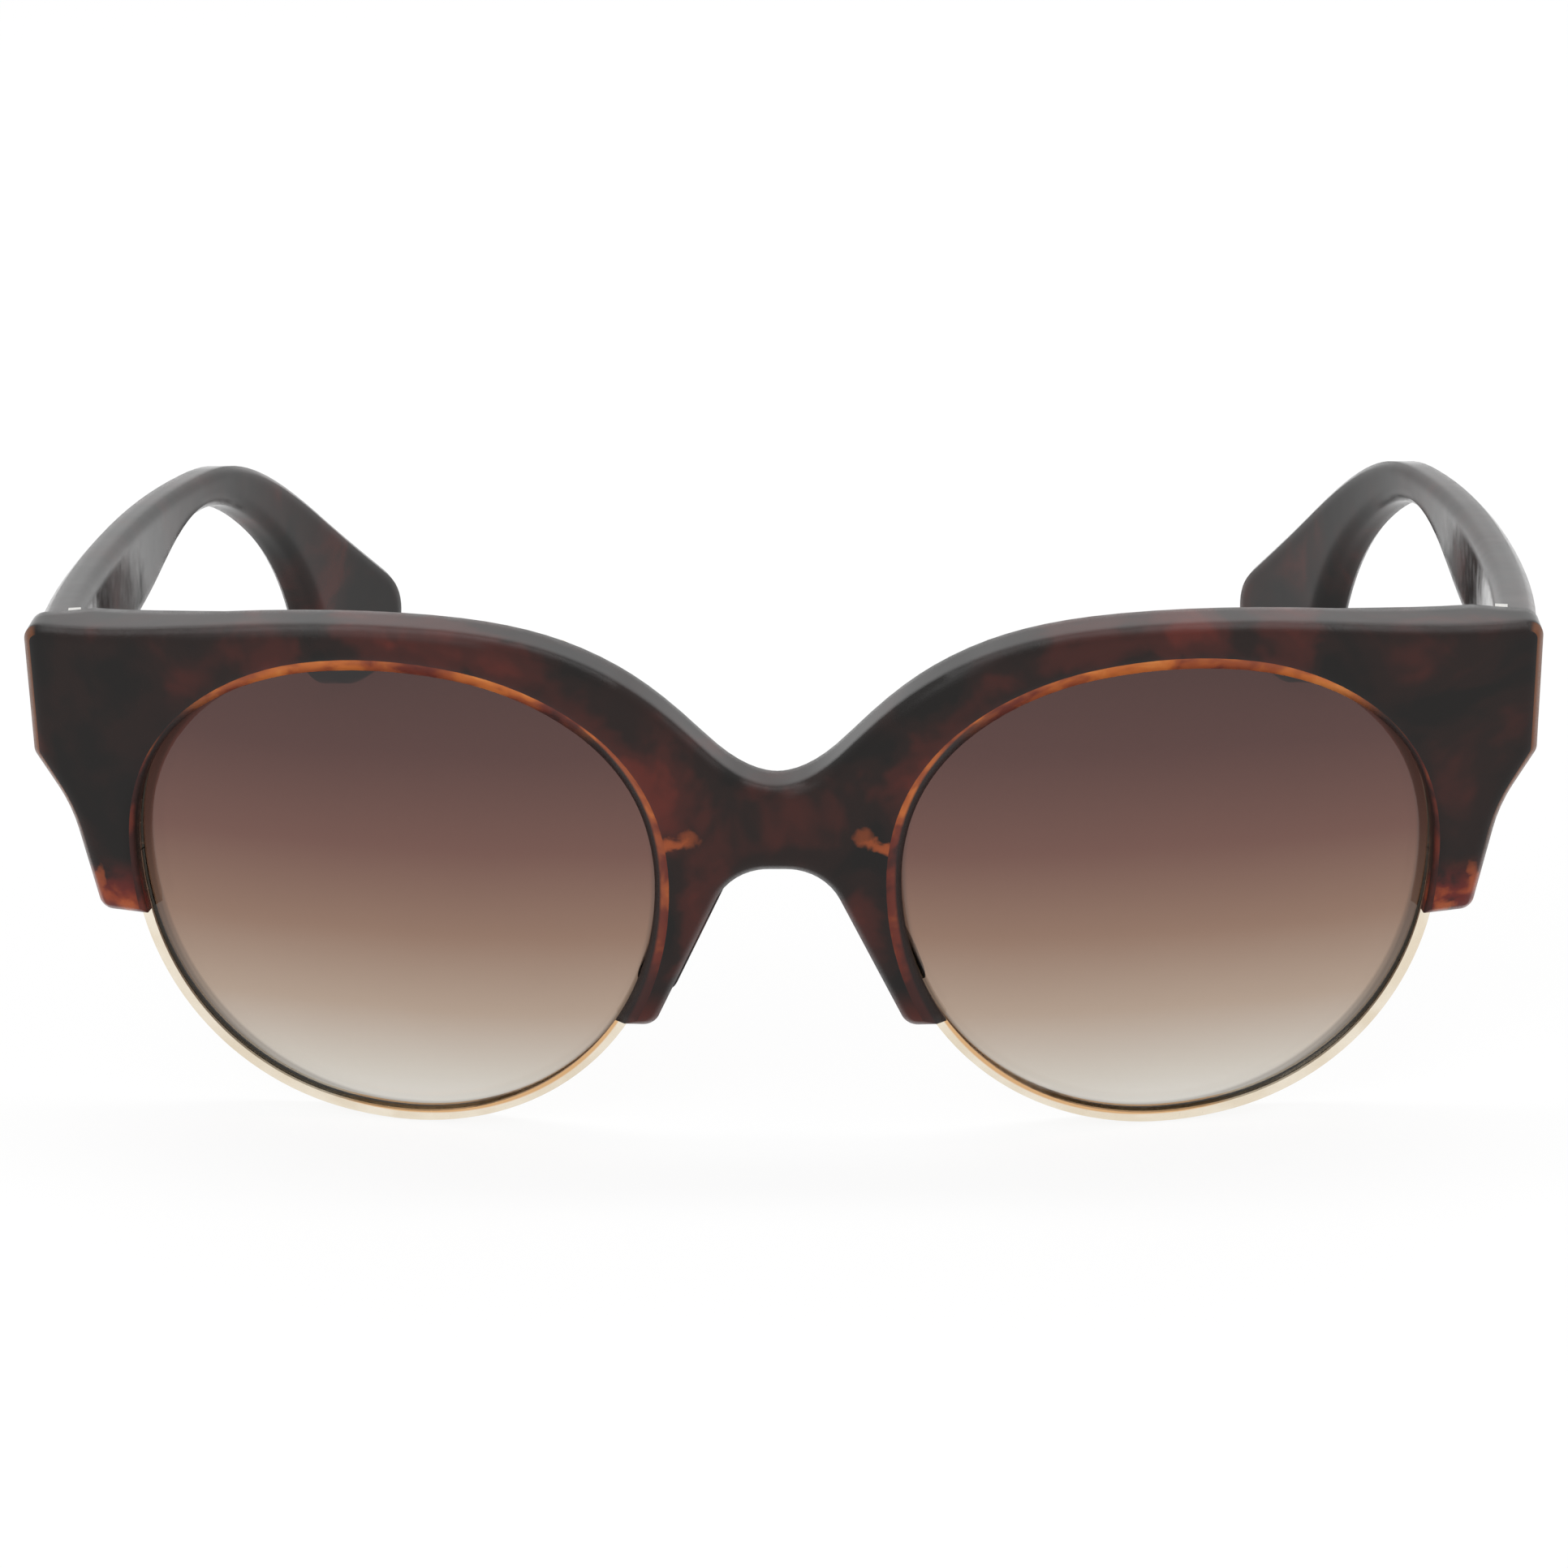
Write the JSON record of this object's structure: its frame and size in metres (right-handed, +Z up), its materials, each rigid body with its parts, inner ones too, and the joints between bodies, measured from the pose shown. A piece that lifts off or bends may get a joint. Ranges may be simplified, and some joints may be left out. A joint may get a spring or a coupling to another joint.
{
  "type": "pair of cat eye sunglasses",
  "caption": "Sunglasses with an upswept acetate brow over round metal-rimmed gradient lenses and two folding acetate temples.",
  "frame": {"origin": "middle of the footprint, on the surface the open glasses stand on", "axes": "+Z up, -Y the way the lenses face, +X towards the wearer's left temple; temples open"},
  "size_m": [0.1506, 0.1314, 0.0531],
  "materials": {
    "acetate": "polished dark tortoiseshell acetate",
    "rim_metal": "pale gold plate, polished",
    "lens_tint": "gradient tint, dark at the top",
    "steel": "satin nickel silver",
    "core_steel": "plain drawn wire"
  },
  "bodies": {
    "front": {"front_brow": "acetate", "lens_left": "lens_tint", "rim_left": "rim_metal", "rim_closing_screw_left": "steel", "rim_fixing_screws_left": "steel", "front_hinge_left": "steel", "hinge_screw_left": "steel", "nose_pad_left": "acetate", "lens_right": "lens_tint", "rim_right": "rim_metal", "rim_closing_screw_right": "steel", "rim_fixing_screws_right": "steel", "front_hinge_right": "steel", "hinge_screw_right": "steel", "nose_pad_right": "acetate"},
    "temple_arm_left": {"temple_left": "acetate", "temple_core_left": "core_steel", "temple_hinge_left": "steel"},
    "temple_arm_right": {"temple_right": "acetate", "temple_core_right": "core_steel", "temple_hinge_right": "steel"}
  },
  "joints": [
    {"name": "hinge_left", "type": "hinge", "parent": "front", "child": "temple_arm_left", "pos_m": [0.06688, -0.04814, 0.043], "axis": [0, 0, 1], "range_deg": [0, 84]},
    {"name": "hinge_right", "type": "hinge", "parent": "front", "child": "temple_arm_right", "pos_m": [-0.06688, -0.04814, 0.043], "axis": [0, 0, -1], "range_deg": [0, 70]}
  ]
}
